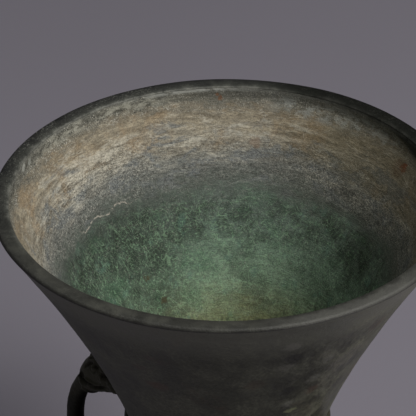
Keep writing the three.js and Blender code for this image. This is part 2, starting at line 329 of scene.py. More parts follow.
def turnedVesselTree():
    # sweeps the profile's points round the axis, then works the surface with noise
    tree = bpy.data.node_groups.new("turnedVessel", "GeometryNodeTree")
    nodes = NodeTools(tree)
    treeInput(tree, "Profile", "NodeSocketGeometry")
    ids = {
        "Segments": treeInput(tree, "Segments", "NodeSocketInt", size["segments"]),
        "Unevenness": treeInput(tree, "Unevenness", "NodeSocketFloat", size["unevenness"] * mm),
        "Wear": treeInput(tree, "Wear", "NodeSocketFloat", size["wear"] * mm),
        "Crust": treeInput(tree, "Crust", "NodeSocketFloat", size["crust"] * mm),
        "Seed": treeInput(tree, "Seed", "NodeSocketInt", size["seed"]),
    }
    for zone in ("Outside", "Lip", "Inside"):
        ids[zone] = treeInput(tree, zone, "NodeSocketMaterial")
    tree.interface.new_socket("Vessel", in_out="OUTPUT", socket_type="NodeSocketGeometry")
    given = nodes.add("NodeGroupInput")

    # a grid whose rows are the profile's points and whose columns go round
    rows = nodes.add("GeometryNodeAttributeDomainSize", {0: given["Profile"]})["Point Count"]
    grid = nodes.first("GeometryNodeMeshGrid", {
        "Size X": 1.0, "Size Y": 1.0, "Vertices X": nodes.total(given["Segments"], 1), "Vertices Y": rows})
    place = nodes.first("GeometryNodeInputPosition")
    zoneNow = nodes.first("GeometryNodeInputNamedAttribute", {"Name": "zone"}, data_type="FLOAT")
    gridPlace = nodes.parts(place)
    angle = nodes.product(nodes.total(gridPlace["X"], 0.5), math.tau)
    row = nodes.calc("ROUND", nodes.product(nodes.total(gridPlace["Y"], 0.5), nodes.less(rows, 1)))
    sampled = nodes.parts(nodes.first("GeometryNodeSampleIndex", {
        "Geometry": given["Profile"], "Value": place, "Index": row}, data_type="FLOAT_VECTOR"))
    zone = nodes.first("GeometryNodeSampleIndex", {
        "Geometry": given["Profile"], "Value": zoneNow, "Index": row}, data_type="FLOAT")
    marked = nodes.first("GeometryNodeStoreNamedAttribute", {
        "Geometry": grid, "Name": "zone", "Value": zone}, data_type="FLOAT", domain="POINT")
    turned = nodes.first("ShaderNodeCombineXYZ", {
        "X": nodes.product(sampled["X"], nodes.calc("COSINE", angle)),
        "Y": nodes.product(sampled["X"], nodes.calc("SINE", angle)),
        "Z": sampled["Z"],
    })
    placed = nodes.first("GeometryNodeSetPosition", {"Geometry": marked, "Position": turned})
    closed = nodes.first("GeometryNodeMergeByDistance", {"Geometry": placed, "Distance": 0.01 * mm})

    # how far each point sinks: cast unevenness, worn hollows low on the trumpet, crust inside
    # the zone is 0 on the outside, 1 on the lip and 2 on the inside
    isInside = nodes.calc("GREATER_THAN", zoneNow, 1.4)
    isLip = nodes.less(nodes.calc("GREATER_THAN", zoneNow, 0.4), isInside)
    isOutside = nodes.calc("LESS_THAN", zoneNow, 0.4)
    seeded = nodes.vector("ADD", place, nodes.first("ShaderNodeCombineXYZ", {"X": given["Seed"]}))
    height = nodes.parts(place)["Z"]
    broad = nodes.noise(seeded, workedScales["uneven"], 2.0, 0.5)
    lumps = nodes.noise(seeded, workedScales["wear"], 3.0, 0.55)
    fine = nodes.noise(seeded, workedScales["crust"], 3.0, 0.6)
    level = nodes.product(nodes.less(1.0, fade(nodes, height, "lip")), 0.5)
    lowTrumpet = nodes.product(fade(nodes, height, "wornFrom"), fade(nodes, height, "wornTo"))
    castDrop = nodes.product(nodes.less(broad, level), given["Unevenness"])
    worn = nodes.product(nodes.less(lumps, 0.5), lowTrumpet, isOutside, given["Wear"])
    crusty = nodes.product(nodes.less(fine, level), isInside, given["Crust"])
    drop = nodes.product(nodes.total(castDrop, worn, crusty), fade(nodes, height, "ground"))
    normal = nodes.first("GeometryNodeInputNormal")
    sunk = {0: normal, "Scale": nodes.product(drop, -1.0)}
    inward = nodes.first("ShaderNodeVectorMath", sunk, operation="SCALE")
    worked = nodes.first("GeometryNodeSetPosition", {"Geometry": closed, "Offset": inward})

    finished = nodes.first("GeometryNodeSetMaterial", {"Geometry": worked, "Material": given["Outside"]})
    for choice, material in ((isLip, "Lip"), (isInside, "Inside")):
        finished = nodes.first("GeometryNodeSetMaterial", {
            "Geometry": finished, "Selection": choice, "Material": given[material]})
    finished = nodes.first("GeometryNodeSetShadeSmooth", {"Geometry": finished})
    finished = nodes.first("GeometryNodeRealizeInstances", {0: finished})
    nodes.feed(tree.nodes.new("NodeGroupOutput").inputs[0], finished)
    return tree, ids


def applied(obj, name):
    # the evaluated result as a plain mesh object, in place of the one with modifiers
    depsgraph = bpy.context.evaluated_depsgraph_get()
    result = bpy.data.meshes.new_from_object(obj.evaluated_get(depsgraph))
    obj.modifiers.clear()
    bpy.data.objects.remove(obj)
    result.name = name
    return addObject(name, result)


def outwards(obj):
    work = bmesh.new()
    work.from_mesh(obj.data)
    bmesh.ops.recalc_face_normals(work, faces=work.faces)
    if work.calc_volume(signed=True) < 0:
        bmesh.ops.reverse_faces(work, faces=work.faces)
    work.to_mesh(obj.data)
    work.free()


def makeVessel(materials):
    obj = profileObject(vesselProfile())
    tree, ids = turnedVesselTree()
    modifier = obj.modifiers.new("turn", "NODES")
    modifier.node_group = tree
    for zone, material in materials.items():
        modifier[ids[zone]] = material
    vessel = applied(obj, "vessel")
    outwards(vessel)
    return vessel


# patina

patinaSizes = {
    "turn": 32.0,  # the side that the deposits are counted from
    "tide": 15.0, "ragged": 13.0,
    "grain": 2400.0, "grit": 1250.0, "fibre": 640.0, "fibreWidth": 0.024,
    "grainDepth": 0.00022,
}


class Finish(NodeTools):
    # a material in the making: shade is the colour so far, and each coat is laid over it

    def __init__(self, name, onWall=True):
        self.material = bpy.data.materials.new(name)
        self.material.use_nodes = True
        super().__init__(self.material.node_tree)
        shader = next(node for node in self.tree.nodes if node.type == "BSDF_PRINCIPLED")
        self.sockets = shader.inputs
        self.place = self.add("ShaderNodeTexCoord")["Object"]
        if onWall:
            self.findWall()

    def findWall(self):
        # angle round the mouth in degrees from the far side, and depth below the mouth in millimetres
        turn = (0, 0, math.radians(-patinaSizes["turn"]))
        self.turned = self.first("ShaderNodeMapping", {"Vector": self.place, "Rotation": turn})
        x, y, z = self.parts(self.turned)
        self.angle = self.product(self.calc("ARCTAN2", x, y), 180 / math.pi)
        self.depth = self.product(self.less(mouthHeight * mm, z), 1 / mm)

    def flat(self, sideways, down, shift=0.0):
        # the wall's pattern drawn out, sideways where that value is below 1
        return self.first("ShaderNodeMapping", {
            "Vector": self.turned, "Location": (shift, shift, 0), "Scale": (sideways, sideways, down)})

    def laid(self, long, roll, shift):
        # drawn out along one direction in the wall
        return self.first("ShaderNodeMapping", {
            "Vector": self.turned, "Location": (shift, shift * 0.6, 0),
            "Rotation": (0, math.radians(roll), 0), "Scale": (1, 1, long)}, vector_type="TEXTURE")

    def signed(self, value, amount):
        # a noise value as a shift to either side
        return self.product(self.less(value, 0.5), amount)

    def hairs(self, vector, scale, width, detail, distortion=0.3):
        # thin lines, where a noise passes through its middle value
        middle = self.calc("ABSOLUTE", self.less(self.noise(vector, scale, detail, 0.5, distortion), 0.5))
        return self.spread(middle, width, width * 0.25)

    def ramp(self, value, stops):
        node = self.tree.nodes.new("ShaderNodeValToRGB")
        self.feed(node.inputs[0], value)
        points = node.color_ramp.elements
        while len(points) < len(stops):
            points.new(0.5)
        for point, (position, colour) in zip(points, stops):
            point.position = position
            point.color = colour
        return node.outputs[0]

    def screenRamp(self, value, stops):
        return self.ramp(value, [(position, screenColour(*colour)) for position, *colour in stops])

    def blend(self, factor, a, b, mode="MIX"):
        return self.add("ShaderNodeMix", {0: factor, 6: a, 7: b}, data_type="RGBA", blend_type=mode)[2]

    def lay(self, colour, *factors):
        # one colour over the shade, where all the factors let it
        if isinstance(colour, tuple):
            colour = screenColour(*colour)
        self.shade = self.blend(self.product(*factors), self.shade, colour)

    def grade(self, factor, tones):
        # the shade multiplied by tones that darken it below 1 and lighten it above
        self.shade = self.blend(factor, self.shade, tones, "MULTIPLY")

    def gradeBy(self, factor, value, stops):
        self.grade(factor, self.ramp(value, [(position, (*tone, 1)) for position, *tone in stops]))

    def speckle(self, amount, dark, light):
        # fine dark and light grains, in clusters
        scale = patinaSizes["grain"]
        darkGrain = self.noise(self.turned, scale, 2.0)
        lightGrain = self.noise(self.flat(1.0, 1.0, 0.31), scale * 0.8, 3.0)
        cluster = self.noise(self.flat(0.6, 1.0, 0.17), 260.0, 4.0, 0.65)
        thin = self.spread(cluster, 0.58, 0.42, 0.6, 1.3)
        thick = self.spread(cluster, 0.42, 0.58, 0.45, 1.5)
        self.lay(dark, self.spread(darkGrain, 0.5, 0.38), amount, thin)
        self.lay(light, self.spread(lightGrain, 0.53, 0.66), amount, thick)
        return darkGrain

    def spot(self, spots, radiusAt):
        # single marks: angle, depth, radius, colour, strength
        wobble = self.signed(self.noise(self.turned, 520.0, 4.0, 0.7), 6.0 * mm)
        for angle, depth, radius, colour, strength in spots:
            wide, turn = radiusAt(depth), math.radians(angle)
            centre = Vector((wide * math.sin(turn), wide * math.cos(turn), mouthHeight - depth)) * mm
            away = self.total(self.vector("DISTANCE", self.turned, centre, "Value"), wobble)
            self.lay(colour, self.spread(away, radius * 1.3 * mm, radius * 0.6 * mm), strength)

    def bump(self, height, distance, strength, under=None):
        inputs = {"Strength": strength, "Distance": distance, "Height": height}
        if under is not None:
            inputs["Normal"] = under
        return self.first("ShaderNodeBump", inputs)

    def finished(self, values):
        # the colour and the other values go to the shader
        self.feed(self.sockets["Base Color"], self.shade)
        for name, value in values.items():
            self.feed(self.sockets[name], value)
        return self.material


# the inside's deposits down the wall: level, 0 at the mouth and 1 at 100 mm, and colour
insideBands = [
    (0.0, 104, 104, 98), (0.05, 110, 108, 98), (0.09, 132, 124, 108), (0.13, 148, 139, 121),
    (0.17, 152, 146, 132), (0.205, 138, 131, 117), (0.24, 124, 122, 114), (0.29, 106, 108, 104),
    (0.34, 96, 101, 95), (0.40, 97, 106, 99), (0.48, 97, 110, 101), (0.55, 110, 128, 113),
    (0.62, 122, 143, 125), (0.70, 130, 149, 127), (0.78, 137, 149, 120), (0.88, 124, 126, 92),
    (1.0, 60, 64, 48),
]
# the inside's fibres: direction in degrees, length, scale
insideFibres = [
    (-62, 7, 1.0), (-38, 8, 0.85), (-12, 9, 1.1), (18, 8, 0.9),
    (44, 8, 1.0), (70, 7, 1.05), (88, 6, 0.95), (3, 14, 0.6),
]
# single marks: angle, depth, radius, colour, strength
insideSpots = [
    (64.6, 10.8, 1.6, (112, 60, 34), 0.9), (63.0, 12.2, 3.5, (92, 72, 50), 0.5),
    (-1.8, 4.2, 0.6, (128, 88, 60), 0.7), (-0.9, 5.2, 0.7, (128, 88, 60), 0.7),
    (-41.0, 63.8, 1.2, (70, 60, 38), 0.75), (-34.4, 74.4, 1.4, (70, 60, 38), 0.7),
    (10.5, 20.4, 2.4, (128, 104, 84), 0.5), (-74.0, 3.4, 1.8, (190, 191, 182), 0.65),
    (-70.0, 3.8, 1.5, (190, 191, 182), 0.5), (66.0, 46.0, 9.0, (40, 46, 34), 0.4),
]
# painted highlights: the pale and the greenish marks are painted glints on the worn patch; the dull marks are
# darker flecks and the rust ones reddish patina
dull, paleGlint, rust, green = (30, 29, 24), (136, 135, 124), (86, 64, 50), (138, 142, 108)
outsideSpots = [
    (164.2, 15.7, 3.2, paleGlint, 0.4), (149.9, 32.7, 2.6, paleGlint, 0.3), (163.7, 30.7, 2.8, paleGlint, 0.3),
    (150.8, 44.6, 3.0, paleGlint, 0.35), (157.7, 58.3, 2.2, paleGlint, 0.4), (162.1, 24.5, 3.4, dull, 0.6),
    (159.1, 48.8, 3.2, dull, 0.65), (149.0, 50.0, 2.8, dull, 0.6), (144.0, 62.0, 3.2, dull, 0.6),
    (136.0, 76.0, 3.6, dull, 0.6), (156.6, 63.4, 1.0, green, 0.6), (155.0, 63.9, 1.3, green, 0.7),
    (153.4, 63.4, 1.0, green, 0.6), (-156.3, 45.9, 3.2, rust, 0.5), (-153.0, 46.5, 2.2, rust, 0.4),
    (148.7, 53.1, 2.6, rust, 0.5), (172.0, 40.0, 3.6, rust, 0.25),
]


def insideRadius(depth):
    return innerLip if depth < 6 else trumpetInside(mouthHeight - depth)


def layDryDeposit(coat, level, streaks, lumps):
    # layered streaks, warm stains, bluish and cream patches, and pale wisps
    angle, depth = coat.angle, coat.depth
    stains = coat.spread(coat.noise(coat.turned, 55.0, 6.0, 0.62, 0.4), 0.47, 0.66)
    coat.lay((150, 126, 94), stains, coat.within(level, 0.07, 0.22, 0.03), 0.5)
    bluish = coat.noise(coat.flat(0.5, 1.2, 0.7), 120.0, 7.0, 0.68, 0.5)
    coat.lay((108, 112, 113), coat.spread(bluish, 0.51, 0.58), coat.within(level, 0.14, 0.34, 0.04), 0.75)
    coat.lay((192, 187, 172), coat.spread(lumps, 0.53, 0.65), coat.within(level, 0.1, 0.27, 0.03), 0.65)
    flakes = coat.noise(coat.flat(0.4, 1.6, 0.2), 260.0, 6.0, 0.7, 0.3)
    flaked = coat.product(coat.within(angle, -6.0, 15.0, 4.0), coat.within(depth, 14.5, 21.5, 2.5))
    coat.lay((184, 183, 174), flaked, coat.spread(flakes, 0.44, 0.6), 0.5)
    thick = coat.product(coat.within(angle, -66.0, -32.0, 8.0), coat.within(level, 0.15, 0.24, 0.02))
    coat.lay((200, 194, 178), thick, coat.spread(streaks, 0.42, 0.56), 0.6)
    wisps = coat.calc("MAXIMUM", coat.hairs(coat.flat(0.3, 1.0), 150.0, 0.012, 4.0),
                      coat.hairs(coat.flat(0.35, 1.0, 0.5), 260.0, 0.016, 3.0))
    patches = coat.spread(coat.noise(coat.turned, 130.0, 3.0), 0.47, 0.6)
    coat.lay((206, 202, 188), wisps, patches, coat.within(level, 0.03, 0.3, 0.03), 0.32)


def layVerdigris(coat, level, left, inGreen, low):
    # clouds of several sizes, with painted shade towards both sides and deep on the left
    deep = coat.spread(coat.depth, 30.0, 44.0)
    clouds = coat.noise(coat.turned, 210.0, 6.0, 0.66, 0.6)
    broad = coat.noise(coat.turned, 62.0, 5.0, 0.6, 0.4)
    teal = coat.noise(coat.flat(1.0, 1.0, 0.9), 130.0, 4.0)
    rusty = coat.noise(coat.turned, 90.0, 6.0, 0.65, 0.5)
    shadedSides = coat.spread(coat.calc("ABSOLUTE", coat.less(coat.angle, 12.0)), 20.0, 62.0)
    upper = coat.product(coat.within(level, 0.36, 0.52, 0.04), 0.28)
    deeper = coat.total(0.25, upper, coat.product(shadedSides, 0.25))
    coat.lay((36, 46, 36), coat.spread(clouds, 0.55, 0.4), deep, deeper)
    coat.lay((48, 58, 47), coat.spread(broad, 0.5, 0.38), deep, 0.4)
    # painted shade: the sides and the deep left darker, where less light reaches the wall
    coat.lay((46, 58, 46), shadedSides, deep, 0.3)
    coat.lay((42, 50, 42), left, deep, 0.6)
    coat.lay((70, 102, 78), coat.spread(broad, 0.53, 0.66), inGreen, 0.4)
    coat.lay((112, 138, 118), coat.spread(clouds, 0.56, 0.7), inGreen, 0.4)
    coat.lay((96, 128, 116), coat.spread(teal, 0.56, 0.68), inGreen, 0.35)
    coat.lay((118, 102, 66), low, coat.spread(rusty, 0.48, 0.6), 0.3)


def layFibres(coat, border, inGreen, low):
    # fine pale fibres, in many directions
    fibres = 0.0
    for i, (roll, long, scale) in enumerate(insideFibres):
        strand = coat.hairs(coat.laid(long, roll, i * 0.37), patinaSizes["fibre"] * scale,
                            patinaSizes["fibreWidth"], 0.0, 0.0)
        broken = coat.spread(coat.noise(coat.flat(1.0, 1.0, i * 0.21), 240.0, 2.0), 0.49, 0.58)
        fibres = coat.calc("MAXIMUM", fibres, coat.product(strand, broken))
    shade = coat.blend(low, screenColour(142, 172, 140), screenColour(160, 164, 122))
    coat.lay(shade, fibres, inGreen, 0.44)
    coat.lay((160, 160, 150), fibres, border, 0.3)


def layGrit(coat, inTan, border, inGreen):
    # grit all over, stronger in the dry deposit and along its torn edge, and crumbs in the green
    grit = coat.noise(coat.flat(0.65, 1.3, 0.13), patinaSizes["grit"], 5.0, 0.85)
    crumbs = coat.noise(coat.turned, patinaSizes["grit"] * 0.9, 5.0, 0.85)
    amount = coat.total(0.4, coat.product(inTan, 0.2), coat.product(border, 0.4))
    coat.gradeBy(coat.product(amount, coat.less(1.0, inGreen)), grit, [
        (0.38, 0.4, 0.39, 0.37), (0.5, 0.97, 0.97, 0.96), (0.62, 1.62, 1.62, 1.57)])
    coat.gradeBy(coat.product(inGreen, 0.6), crumbs, [
        (0.38, 0.42, 0.45, 0.41), (0.5, 0.96, 0.99, 0.95), (0.62, 1.38, 1.62, 1.36)])


def layUnderLip(coat, level, right, inTan):
    # pale scurf, a painted shadow under the lip and painted shade over the right wall, and a pale line at the
    # lip's inner edge, worn and partly a painted highlight
    angle, depth = coat.angle, coat.depth
    flecked = coat.spread(coat.noise(coat.flat(0.6, 1.2, 0.8), 300.0, 6.0, 0.7, 0.3), 0.44, 0.58)
    scurfRight = coat.product(coat.within(angle, 16.0, 58.0, 7.0), coat.within(depth, 3.5, 10.0, 2.0))
    scurfLeft = coat.product(coat.within(angle, -64.0, -18.0, 8.0), coat.within(depth, 1.8, 6.0, 1.4))
    coat.lay((158, 161, 156), scurfRight, flecked, 0.6)
    coat.lay((196, 194, 178), scurfLeft, flecked, 0.6)
    # painted shadow: a dark band under the lip on the right, where the lip shades the wall
    below = coat.less(depth, coat.product(coat.within(angle, 61.0, 130.0, 11.0), 5.0))
    coat.lay((36, 38, 34), coat.spread(below, 3.2, 1.0), coat.within(angle, 26.0, 145.0, 14.0), 0.8)
    # painted shade: the tan and the grey below it darker on the right wall
    coat.lay((96, 90, 68), right, inTan, 0.35)
    coat.grade(coat.product(right, coat.spread(level, 0.33, 0.48, 1.0, 0.2)), (0.82, 0.81, 0.76, 1))
    # a pale line at the lip's inner edge: worn metal, and partly a painted highlight along the edge,
    # strongest on the far side
    worn = coat.spread(coat.noise(coat.flat(0.4, 1.0), 500.0, 4.0, 0.7), 0.34, 0.54)
    bareAndHighlit = coat.total(0.15, coat.product(coat.within(angle, -22.0, 3.0, 10.0), 0.85))
    coat.lay((190, 191, 184), coat.spread(depth, 3.2, 1.8), worn, bareAndHighlit, 0.8)


def layVein(coat):
    # a pale wavy vein where the grey turns green, and a fainter one behind
    wave = coat.calc("SINE", coat.product(coat.total(coat.angle, 58.5), math.radians(29)))
    wander = coat.signed(coat.noise(coat.turned, 300.0, 4.0, 0.65), 3.0)
    line = coat.total(coat.product(wave, -0.8), 35.2, wander)
    off = coat.calc("ABSOLUTE", coat.less(coat.depth, line))
    broken = coat.spread(coat.noise(coat.turned, 420.0, 3.0), 0.4, 0.52)
    stretch = coat.within(coat.angle, -64.0, -36.0, 3.0)
    coat.lay((186, 178, 164), coat.spread(off, 0.34, 0.08), stretch, broken, 0.7)
    coat.lay((150, 156, 146), coat.spread(off, 0.5, 0.1), coat.within(coat.angle, 0.0, 12.0, 3.0), 0.25)


def insideMaterial():
    coat = Finish("verdigrisInside")
    angle = coat.angle
    tide = coat.noise(coat.flat(0.4, 1.2), 60.0, 8.0, 0.62, 0.6)
    ragged = coat.noise(coat.flat(0.45, 1.3), 330.0, 5.0, 0.7)
    shift = coat.total(coat.signed(tide, patinaSizes["tide"]), coat.signed(ragged, patinaSizes["ragged"]))
    level = coat.calc("DIVIDE", coat.total(coat.depth, shift), 100.0)
    coat.shade = coat.screenRamp(level, insideBands)
    left = coat.product(coat.spread(angle, 0.0, -40.0), coat.spread(angle, -170.0, -120.0))
    right = coat.product(coat.spread(angle, 8.0, 45.0), coat.spread(angle, 170.0, 120.0))
    inTan = coat.within(level, 0.08, 0.235, 0.025)
    border = coat.within(level, 0.2, 0.35, 0.035)
    inGreen = coat.spread(level, 0.33, 0.46)
    low = coat.spread(level, 0.74, 0.86)

    streaks = coat.noise(coat.flat(0.26, 1.5), 400.0, 6.0, 0.76, 0.5)
    lumps = coat.noise(coat.flat(0.3, 1.5), 190.0, 7.0, 0.7, 0.4)
    coat.gradeBy(coat.total(coat.product(inTan, 0.85), coat.product(border, 0.6)), streaks, [
        (0.36, 0.5, 0.49, 0.47), (0.5, 0.96, 0.95, 0.93), (0.64, 1.5, 1.5, 1.47)])
    layDryDeposit(coat, level, streaks, lumps)
    layVerdigris(coat, level, left, inGreen, low)
    layFibres(coat, border, inGreen, low)
    layGrit(coat, inTan, border, inGreen)

    # grains: thick under the lip on the left and along the torn edge of the dry deposit
    top = coat.product(coat.spread(level, 0.1, 0.05), coat.total(0.26, coat.product(left, 0.34)))
    sides = coat.spread(coat.calc("ABSOLUTE", angle), 12.0, 38.0)
    torn = coat.product(coat.within(level, 0.18, 0.32, 0.04), coat.total(0.07, coat.product(sides, 0.3)))
    grain = coat.speckle(coat.total(top, torn, 0.14), (30, 31, 28), (196, 193, 180))
    layUnderLip(coat, level, right, inTan)
    layVein(coat)
    coat.spot(insideSpots, insideRadius)
    coarse = coat.bump(coat.total(tide, coat.product(lumps, 0.8)), 0.0014, 0.5)
    return coat.finished({
        "Metallic": 0.0,
        "Specular IOR Level": 0.25,
        "Roughness": coat.spread(grain, 0.3, 0.7, 0.72, 0.92),
        "Normal": coat.bump(coat.total(grain, coat.product(streaks, 0.6)), 0.0004, 0.6, coarse),
    })


def lipMaterial():
    coat = Finish("lipPatina")
    angle = coat.angle
    # share is 0 at the lip's inner edge and 1 at its outer one
    level = coat.vector("MULTIPLY", coat.turned, (1, 1, 0))
    across = coat.product(coat.vector("LENGTH", level, result="Value"), 1 / mm)
    share = coat.calc("DIVIDE", coat.less(across, innerLip), size["lipWidth"])
    share = coat.total(share, coat.signed(coat.noise(coat.turned, 160.0, 5.0, 0.65), 0.9))
    # painted light: the near side of the lip lighter, and on the far side a painted highlight along the inner
    # edge that darkens to painted shade at the outer edge
    near = coat.screenRamp(share, [(0.0, 50, 50, 45), (0.5, 60, 60, 54), (1.0, 54, 54, 49)])
    far = coat.screenRamp(share, [
        (0.0, 110, 110, 103), (0.14, 72, 73, 67), (0.32, 46, 47, 42), (0.6, 38, 39, 35), (0.82, 20, 20, 18),
        (1.0, 9, 9, 8)])
    coat.shade = coat.blend(coat.spread(coat.calc("ABSOLUTE", angle), 130.0, 95.0), near, far)
    mottle = coat.noise(coat.turned, 120.0, 6.0, 0.65, 0.3)
    coat.gradeBy(0.8, mottle, [(0.34, 0.45, 0.45, 0.43), (0.5, 0.95, 0.95, 0.93), (0.66, 1.6, 1.6, 1.55)])
    # painted shade over the far right of the lip, which also gets less sheen
    shadedRight = coat.within(angle, 14.0, 85.0, 12.0)
    coat.lay((22, 23, 20), shadedRight, 0.82)
    # painted highlight on the outer half of the lip at the near right
    coat.lay((110, 109, 104), coat.within(angle, 132.0, 168.0, 8.0), coat.spread(share, 0.15, 0.5), 0.36)
    amount = coat.total(0.07, coat.product(coat.within(angle, -95.0, -15.0, 12.0), 0.28))
    grain = coat.speckle(amount, (10, 10, 9), (140, 140, 131))
    return coat.finished({
        "Metallic": 0.14,
        "Specular IOR Level": coat.calc("MULTIPLY_ADD", shadedRight, -0.42, 0.5),
        "Roughness": coat.calc("MULTIPLY_ADD", shadedRight, 0.25, coat.spread(mottle, 0.3, 0.7, 0.5, 0.68)),
        "Normal": coat.bump(grain, 0.0004, 0.6, coat.bump(mottle, 0.001, 0.5)),
    })


def darkBronze(name, dark, light, red, redAmount, onWall):
    # near-black bronze: broad mottling, fine grain and reddish breaks
    coat = Finish(name, onWall)
    coat.mottle = coat.noise(coat.place, 70.0, 6.0, 0.6, 0.3)
    coat.fine = coat.noise(coat.place, 900.0, 4.0, 0.7)
    breaks = coat.noise(coat.place, 46.0, 6.0, 0.62, 0.5)
    coat.shade = screenColour(*dark)
    coat.lay(light, coat.spread(coat.mottle, 0.36, 0.66))
    coat.gradeBy(0.5, coat.fine, [(0.36, 0.4, 0.4, 0.38), (0.5, 0.9, 0.9, 0.88), (0.66, 1.9, 1.9, 1.8)])
    coat.lay(red, coat.spread(breaks, 0.56, 0.7), redAmount)
    coat.hollows = coat.bump(coat.noise(coat.place, 170.0, 5.0, 0.6, 0.3), 0.0008, 0.5)
    return coat


def outsideMaterial():
    coat = darkBronze("darkPatina", (60, 61, 50), (88, 89, 76), (84, 64, 50), 0.35, True)
    # paler just below the lip
    coat.lay((116, 117, 104), coat.spread(coat.depth, 26.0, 6.0), 0.6)
    # a worn and pitted patch low on the near side, with painted highlights on its pale flecks, and painted
    # light on the stretch to its right
    fromNear = coat.less(180.0, coat.angle)
    patch = coat.product(coat.within(fromNear, 12.0, 50.0, 7.0), coat.within(coat.depth, 18.0, 92.0, 8.0))
    pitted = coat.noise(coat.flat(1.1, 0.5, 0.4), 120.0, 4.0, 0.55)
    coat.lay((36, 35, 29), patch, coat.spread(pitted, 0.5, 0.36), 0.55)
    # painted highlights: pale flecks on the pitted patch
    coat.lay((122, 119, 107), patch, coat.spread(pitted, 0.5, 0.68), 0.24)
    # painted light: the right side of the trumpet made about twice as light
    paintedLightRight = coat.product(coat.within(fromNear, 32.0, 95.0, 14.0), coat.spread(coat.depth, 104.0, 88.0), 0.78)
    coat.grade(paintedLightRight, (2.0, 1.95, 1.9, 1))
    coat.spot(outsideSpots, lambda depth: trumpetRadius(mouthHeight - depth))
    sunk = coat.bump(coat.product(pitted, patch), 0.0025, 0.6, coat.hollows)
    return coat.finished({
        "Metallic": 0.3,
        "Roughness": coat.spread(coat.mottle, 0.3, 0.7, 0.42, 0.58),
        "Normal": coat.bump(coat.fine, patinaSizes["grainDepth"], 0.7, sunk),
    })


materials = {"Outside": outsideMaterial(), "Lip": lipMaterial(), "Inside": insideMaterial()}
print("patinas mixed")

vessel = makeVessel(materials)
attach(vessel, "root")
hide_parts("vase")
print("vessel turned:", len(vessel.data.polygons), "faces")

# the beast-head handles

# millimetres, the same as the solids; eyeAt and eyeTurn are the eye's place along and round the head
headSizes = {
    "length": 31.5, "height": 25, "width": 20, "rise": 1, "arch": 4, "droop": 13.5, "muzzleShare": 0.4,
    "lipRoll": 0.9, "eye": 2.0, "eyeAt": 0.57, "eyeTurn": 53, "lid": 0.5, "lidReach": 2.5, "pupil": 0.7,
    "brow": 1.4, "jaw": 2, "earLength": 11, "earWidth": 5, "curl": 2.6, "curlBead": 0.9,
    "voxel": 0.4, "softening": 3, "grain": 0.08, "grainScale": 260,
}
loopSizes = {
    "radius": 3.7, "mouthSwell": 1.1, "reach": 74.3, "rootDrop": 19, "rootRadius": 6.2,
    "sides": 28, "spacing": 0.8, "steps": 72,
}
# millimetres: the depth at which a groove gets its full painted shade, and how far out the bar's
# painted-shade inner side begins
shadeSizes = {"depth": 1.2, "barFrom": 60}

headSections = [  # along the head, half height, half width
    (0, 0.3, 0.38), (0.16, 0.33, 0.44), (0.34, 0.36, 0.49), (0.5, 0.37, 0.48),
    (0.64, 0.36, 0.43), (0.8, 0.32, 0.38), (0.92, 0.26, 0.32), (1, headSizes["muzzleShare"] / 2, 0.26),
]
headBase = trumpetBase + headSizes["rise"]
neckSurface = trumpetRadius(headBase)
headCurve = [
    Vector((neckSurface - size["wall"] * 0.7, 0, headBase)),
    Vector((neckSurface + headSizes["length"] * 0.56, 0, headBase + headSizes["arch"] / 2)),
    Vector((neckSurface + headSizes["length"] * 0.91, 0, headBase - headSizes["droop"])),
]


def handleMaterial():
    coat = darkBronze("handlePatina", (20, 19, 14), (46, 45, 35), (50, 40, 28), 0.2, False)
    soiled = coat.add("ShaderNodeAttribute", attribute_name="soiled")["Fac"]
    worn = coat.add("ShaderNodeAttribute", attribute_name="worn")["Fac"]
    height = coat.parts(coat.place)["Z"]
    # painted light: the head and the top of the bar lighter than the lower bar
    coat.lay((84, 82, 68), coat.spread(height, (headBase - 24) * mm, (headBase - 10) * mm), 0.38)
    # raised carving paler: wear, and partly a painted highlight on the raised parts
    coat.lay((72, 71, 60), worn, coat.spread(coat.fine, 0.4, 0.6, 0.3, 0.8))
    # painted shade in the grooves and on the bar's inner side, which also get less sheen
    coat.lay((12, 6, 3), soiled, 0.98)
    return coat.finished({
        "Metallic": coat.calc("MULTIPLY_ADD", soiled, -0.28, 0.3),
        "Specular IOR Level": coat.calc("MULTIPLY_ADD", soiled, -0.3, 0.34),
        "Specular Tint": (0.95, 1.0, 0.84, 1.0),
        "Roughness": coat.calc("MULTIPLY_ADD", soiled, 0.3, coat.spread(coat.fine, 0.3, 0.7, 0.44, 0.6)),
        "Normal": coat.bump(coat.fine, patinaSizes["grainDepth"], 0.7, coat.hollows),
    })


handlePatina = handleMaterial()


def headPoint(at):
    a, b, c = headCurve
    return a * (1 - at) ** 2 + b * 2 * at * (1 - at) + c * at ** 2


def headAhead(at):
    a, b, c = headCurve
    return ((b - a) * (1 - at) + (c - b) * at).normalized()


def headSkin(at, angle, lift=0.0):
    # a point on the head: angle 0 is its top, 90 degrees its side, and lift stands off the skin
    index = next((i for i in range(1, len(headSections)) if headSections[i][0] >= at), len(headSections) - 1)
    low, high = headSections[index - 1], headSections[index]
    share = (at - low[0]) / (high[0] - low[0])
    tall = (low[1] + (high[1] - low[1]) * share) * headSizes["height"] + lift
    wide = (low[2] + (high[2] - low[2]) * share) * headSizes["width"] + lift
    ahead = headAhead(at)
    up = Vector((-ahead.z, 0, ahead.x))
    turn = math.radians(angle)
    return headPoint(at) + up * tall * math.cos(turn) + Vector((0, wide * math.sin(turn), 0))


def between(a, b, c, d, t):
    # a value from b to c on the smooth curve that also passes a and d
    bend = (2 * a - 5 * b + 4 * c - d) * t ** 2
    twist = (3 * b - a - 3 * c + d) * t ** 3
    return 0.5 * (2 * b + (c - a) * t + bend + twist)


def smoothPath(points, steps):
    # a smooth run through points that may carry a radius as their last value
    result = []
    padded = [points[0]] + list(points) + [points[-1]]
    for i in range(len(points) - 1):
        for k in range(steps):
            result.append(tuple(between(*values, k / steps) for values in zip(*padded[i:i + 4])))
    result.append(tuple(points[-1]))
    return result


